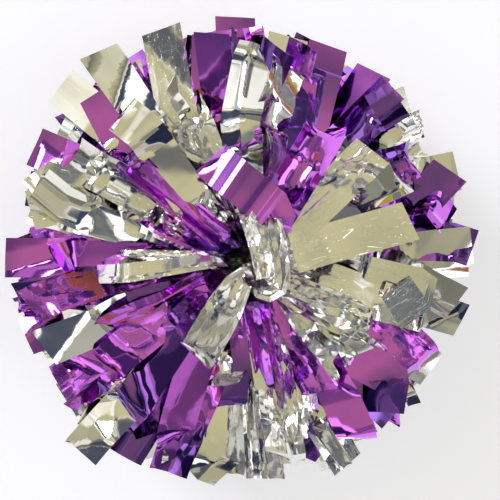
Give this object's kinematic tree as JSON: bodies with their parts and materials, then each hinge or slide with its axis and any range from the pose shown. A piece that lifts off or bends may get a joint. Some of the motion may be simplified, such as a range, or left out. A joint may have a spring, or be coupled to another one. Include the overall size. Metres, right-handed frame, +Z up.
{
  "type": "cheer pom pom",
  "caption": "Round metallic-film cheer pom pom in two colours: slit fringe sheets gathered and bound at both ends of a hand-held baton grip, fluffed into a ball.",
  "frame": {"origin": "on the floor, under the middle of the grip", "axes": "+Z up along the grip; the bunch the viewer sees fluffed open faces +Z, and the pom rests on the other bunch"},
  "size_m": [0.2994, 0.2981, 0.3123],
  "materials": {
    "purple_film": "polished metallised film",
    "silver_film": "polished metallised film",
    "handle_plastic": "moulded black plastic",
    "pin_plastic": "moulded plastic",
    "binding_tape": "vinyl tape",
    "tie_nylon": "natural nylon"
  },
  "bodies": {
    "baton": {"grip_tube": "handle_plastic", "end_spool_top": "handle_plastic", "spool_pin_top": "pin_plastic", "post_cap_top": "handle_plastic", "tape_wrap_top": "binding_tape", "cable_tie_top": "tie_nylon", "end_spool_bottom": "handle_plastic", "spool_pin_bottom": "pin_plastic", "post_cap_bottom": "handle_plastic", "tape_wrap_bottom": "binding_tape", "cable_tie_bottom": "tie_nylon"},
    "top_skirt": {"fringe_top_1_purple": "purple_film", "fringe_top_1_silver": "silver_film", "fringe_top_2_purple": "purple_film", "fringe_top_2_silver": "silver_film"},
    "top_middle": {"fringe_top_3_purple": "purple_film", "fringe_top_3_silver": "silver_film", "fringe_top_4_purple": "purple_film", "fringe_top_4_silver": "silver_film", "fringe_top_5_purple": "purple_film", "fringe_top_5_silver": "silver_film"},
    "top_crown": {"fringe_top_6_purple": "purple_film", "fringe_top_6_silver": "silver_film", "fringe_top_7_purple": "purple_film", "fringe_top_7_silver": "silver_film"},
    "bottom_skirt": {"fringe_bottom_1_purple": "purple_film", "fringe_bottom_1_silver": "silver_film", "fringe_bottom_2_purple": "purple_film", "fringe_bottom_2_silver": "silver_film"},
    "bottom_middle": {"fringe_bottom_3_purple": "purple_film", "fringe_bottom_3_silver": "silver_film", "fringe_bottom_4_purple": "purple_film", "fringe_bottom_4_silver": "silver_film", "fringe_bottom_5_purple": "purple_film", "fringe_bottom_5_silver": "silver_film"},
    "bottom_crown": {"fringe_bottom_6_purple": "purple_film", "fringe_bottom_6_silver": "silver_film", "fringe_bottom_7_purple": "purple_film", "fringe_bottom_7_silver": "silver_film"}
  },
  "joints": [
    {"name": "top_skirt_swirl", "type": "hinge", "parent": "baton", "child": "top_skirt", "pos_m": [0, 0, 0.2036], "axis": [0, 0, 1], "range_deg": [-15, 15], "stiffness_Nm_per_rad": 0.02},
    {"name": "top_middle_swirl", "type": "hinge", "parent": "baton", "child": "top_middle", "pos_m": [0, 0, 0.2036], "axis": [0, 0, 1], "range_deg": [-12, 12], "stiffness_Nm_per_rad": 0.02},
    {"name": "top_crown_swirl", "type": "hinge", "parent": "baton", "child": "top_crown", "pos_m": [0, 0, 0.2036], "axis": [0, 0, 1], "range_deg": [-8, 8], "stiffness_Nm_per_rad": 0.02},
    {"name": "bottom_skirt_swirl", "type": "hinge", "parent": "baton", "child": "bottom_skirt", "pos_m": [0, 0, 0.09], "axis": [0, 0, 1], "range_deg": [-15, 15], "stiffness_Nm_per_rad": 0.02},
    {"name": "bottom_middle_swirl", "type": "hinge", "parent": "baton", "child": "bottom_middle", "pos_m": [0, 0, 0.09], "axis": [0, 0, 1], "range_deg": [-12, 12], "stiffness_Nm_per_rad": 0.02},
    {"name": "bottom_crown_swirl", "type": "hinge", "parent": "baton", "child": "bottom_crown", "pos_m": [0, 0, 0.09], "axis": [0, 0, 1], "range_deg": [-8, 8], "stiffness_Nm_per_rad": 0.02}
  ],
  "couplings": [
    {"joint": "top_skirt_swirl", "follows": "top_middle_swirl", "ratio": 1.25},
    {"joint": "top_crown_swirl", "follows": "top_middle_swirl", "ratio": 0.6},
    {"joint": "bottom_skirt_swirl", "follows": "bottom_middle_swirl", "ratio": 1.25},
    {"joint": "bottom_crown_swirl", "follows": "bottom_middle_swirl", "ratio": 0.6}
  ]
}
